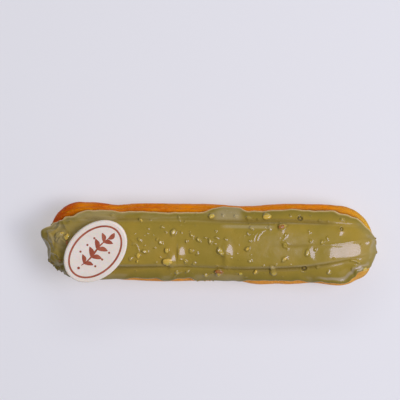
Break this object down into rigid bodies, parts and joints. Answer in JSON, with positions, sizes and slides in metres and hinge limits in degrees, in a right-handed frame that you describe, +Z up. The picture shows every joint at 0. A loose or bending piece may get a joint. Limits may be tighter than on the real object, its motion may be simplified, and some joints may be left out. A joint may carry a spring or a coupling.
{
  "type": "eclair",
  "caption": "Iced eclair: a finger of baked choux, dipped in pistachio icing full of chopped nuts, with an oval plaque of white chocolate near one end.",
  "frame": {"origin": "on the flat base, under the middle of the bun", "axes": "+X along the eclair, away from the plaque; +Z up, out of the icing"},
  "size_m": [0.1491, 0.0366, 0.0316],
  "materials": {
    "baked_choux": "baked crust, matt",
    "pistachio_icing": "set icing, glossy, with nut lumps",
    "white_chocolate": "moulded, satin"
  },
  "bodies": {
    "root": {"choux_bun": "baked_choux", "pistachio_icing": "pistachio_icing", "white_chocolate_plaque": "white_chocolate"}
  },
  "joints": []
}
